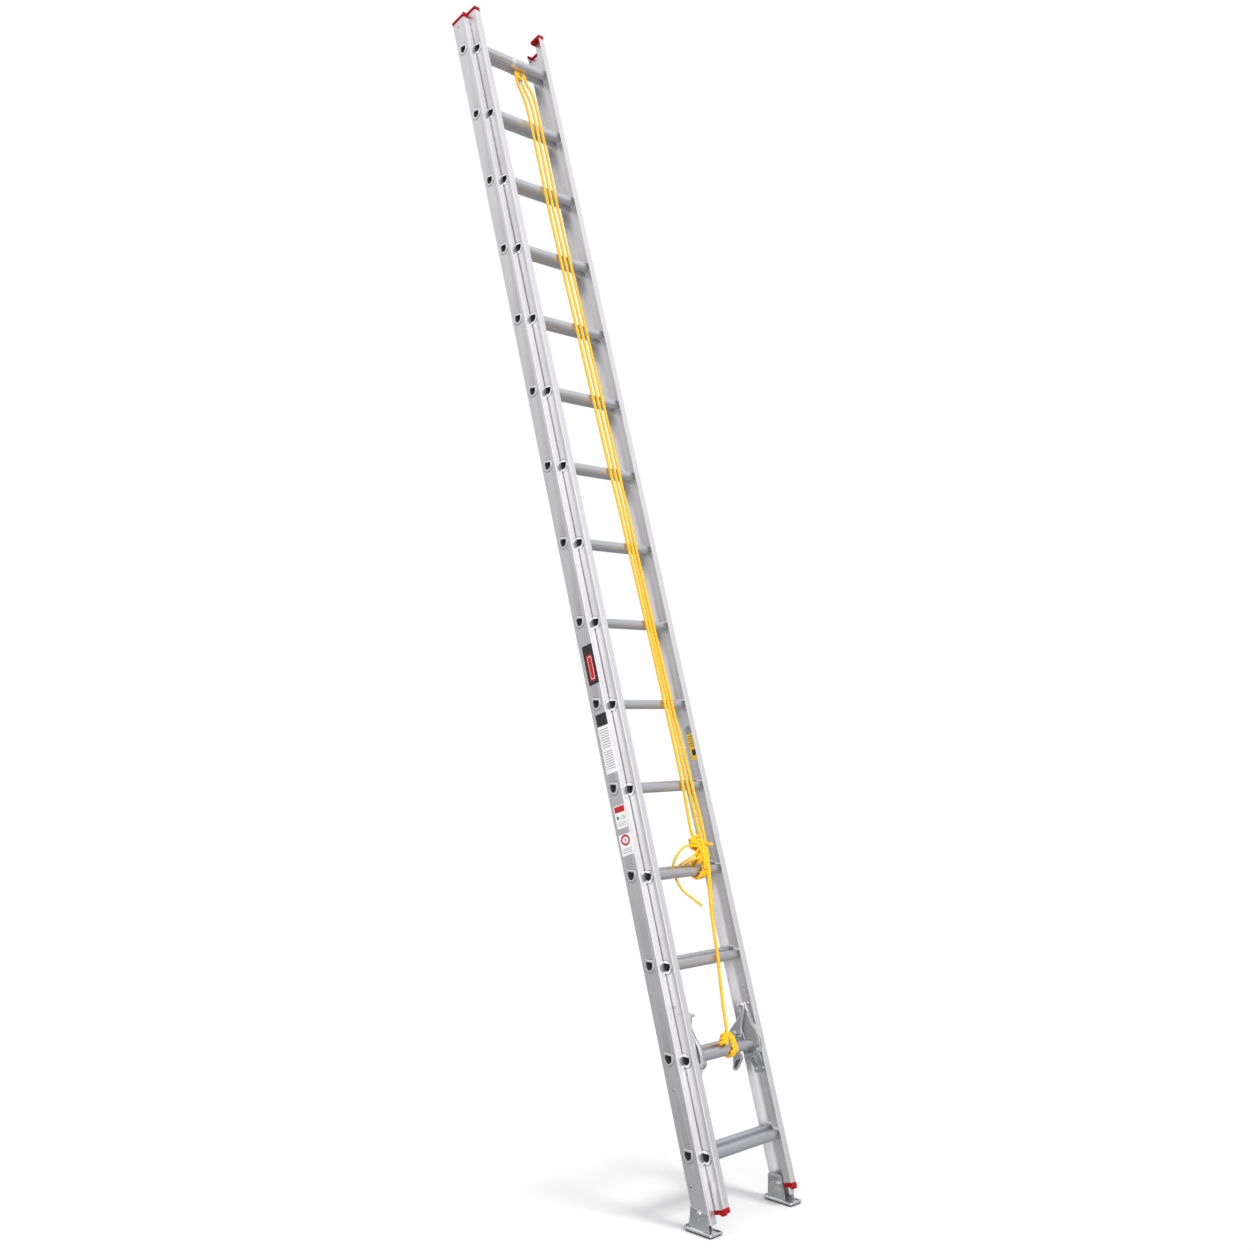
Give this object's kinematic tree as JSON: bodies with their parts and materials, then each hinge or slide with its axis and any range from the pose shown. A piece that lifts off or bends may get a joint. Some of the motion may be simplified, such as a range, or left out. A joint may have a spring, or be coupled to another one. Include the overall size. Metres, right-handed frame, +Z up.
{
  "type": "extension ladder",
  "caption": "Two-section aluminium extension ladder with D rungs, rung locks, hoist rope and pulley, red end caps and pivoting shoes, leaning.",
  "frame": {"origin": "on the floor, midway between the feet and straight below the shoe bolts", "axes": "+X across the ladder to the right as seen from the front, +Y towards the wall, +Z up; the rails lean 16.5 degrees from +Z towards +Y"},
  "size_m": [0.466, 1.4208, 4.5048],
  "materials": {
    "rail_aluminium": "mill finish, drawn lengthwise",
    "rung_aluminium": "mill finish, ribbed tread",
    "cap_plastic": "moulded crimson plastic",
    "lock_casting": "tumbled grey casting",
    "galvanised_steel": "zinc plated pressed steel",
    "sole_rubber": "matt black rubber",
    "rope_yellow": "braided polypropylene",
    "sheave_nylon": "moulded yellow nylon"
  },
  "bodies": {
    "base": {"base_rail_left": "rail_aluminium", "base_rail_right": "rail_aluminium", "base_rung_01": "rung_aluminium", "base_rung_02": "rung_aluminium", "base_rung_03": "rung_aluminium", "base_rung_04": "rung_aluminium", "base_rung_05": "rung_aluminium", "base_rung_06": "rung_aluminium", "base_rung_07": "rung_aluminium", "base_rung_08": "rung_aluminium", "base_rung_09": "rung_aluminium", "base_rung_10": "rung_aluminium", "base_rung_11": "rung_aluminium", "base_rung_12": "rung_aluminium", "base_rung_13": "rung_aluminium", "base_rung_14": "rung_aluminium", "base_rung_15": "rung_aluminium", "base_top_cap_left": "cap_plastic", "base_top_cap_right": "cap_plastic", "pulley_hanger": "galvanised_steel", "pulley_axle": "galvanised_steel", "shoe_bolt_left": "galvanised_steel", "shoe_bolt_right": "galvanised_steel", "rope_hoist": "rope_yellow", "rope_return": "rope_yellow", "rope_hitch": "rope_yellow", "rope_tail": "rope_yellow"},
    "fly": {"fly_rail_left": "rail_aluminium", "fly_rail_right": "rail_aluminium", "fly_rung_01": "rung_aluminium", "fly_rung_02": "rung_aluminium", "fly_rung_03": "rung_aluminium", "fly_rung_04": "rung_aluminium", "fly_rung_05": "rung_aluminium", "fly_rung_06": "rung_aluminium", "fly_rung_07": "rung_aluminium", "fly_rung_08": "rung_aluminium", "fly_rung_09": "rung_aluminium", "fly_rung_10": "rung_aluminium", "fly_rung_11": "rung_aluminium", "fly_rung_12": "rung_aluminium", "fly_rung_13": "rung_aluminium", "fly_rung_14": "rung_aluminium", "fly_rung_15": "rung_aluminium", "fly_top_cap_left": "cap_plastic", "fly_top_cap_right": "cap_plastic", "fly_bottom_cap_left": "cap_plastic", "fly_bottom_cap_right": "cap_plastic", "lock_bracket_left": "lock_casting", "lock_bracket_right": "lock_casting", "rope_knot": "rope_yellow"},
    "pulley": {"pulley_wheel": "sheave_nylon"},
    "hook_left": {"lock_hook_left": "lock_casting"},
    "tongue_left": {"lock_tongue_left": "lock_casting"},
    "foot_left": {"shoe_left": "galvanised_steel", "shoe_pad_left": "sole_rubber"},
    "hook_right": {"lock_hook_right": "lock_casting"},
    "tongue_right": {"lock_tongue_right": "lock_casting"},
    "foot_right": {"shoe_right": "galvanised_steel", "shoe_pad_right": "sole_rubber"}
  },
  "joints": [
    {"name": "fly_slide", "type": "slide", "parent": "base", "child": "fly", "axis": [0, 0.284, 0.9588], "range_m": [0, 3.6576], "deforming": ["rope_hoist", "rope_return", "rope_hitch", "rope_tail"]},
    {"name": "pulley_spin", "type": "hinge", "parent": "base", "child": "pulley", "pos_m": [0.053, 1.22359, 4.28853], "axis": [0, 0.9588, -0.284], "continuous": true},
    {"name": "hook_swing_left", "type": "hinge", "parent": "fly", "child": "hook_left", "pos_m": [-0.136, 0.117, 0.65416], "axis": [1, 0, 0], "range_deg": [0, 22], "stiffness_Nm_per_rad": 0.4, "springref_deg": -17.19},
    {"name": "tongue_flip_left", "type": "hinge", "parent": "hook_left", "child": "tongue_left", "pos_m": [-0.126, 0.1389, 0.5538], "axis": [1, 0, 0], "range_deg": [0, 75]},
    {"name": "shoe_tilt_left", "type": "hinge", "parent": "base", "child": "foot_left", "pos_m": [-0.202, 0, 0.062], "axis": [1, 0, 0], "range_deg": [-16, 8]},
    {"name": "hook_swing_right", "type": "hinge", "parent": "fly", "child": "hook_right", "pos_m": [0.136, 0.117, 0.65416], "axis": [1, 0, 0], "range_deg": [0, 22], "stiffness_Nm_per_rad": 0.4, "springref_deg": -17.19},
    {"name": "tongue_flip_right", "type": "hinge", "parent": "hook_right", "child": "tongue_right", "pos_m": [0.126, 0.1389, 0.5538], "axis": [1, 0, 0], "range_deg": [0, 75]},
    {"name": "shoe_tilt_right", "type": "hinge", "parent": "base", "child": "foot_right", "pos_m": [0.202, 0, 0.062], "axis": [1, 0, 0], "range_deg": [-16, 8]}
  ]
}
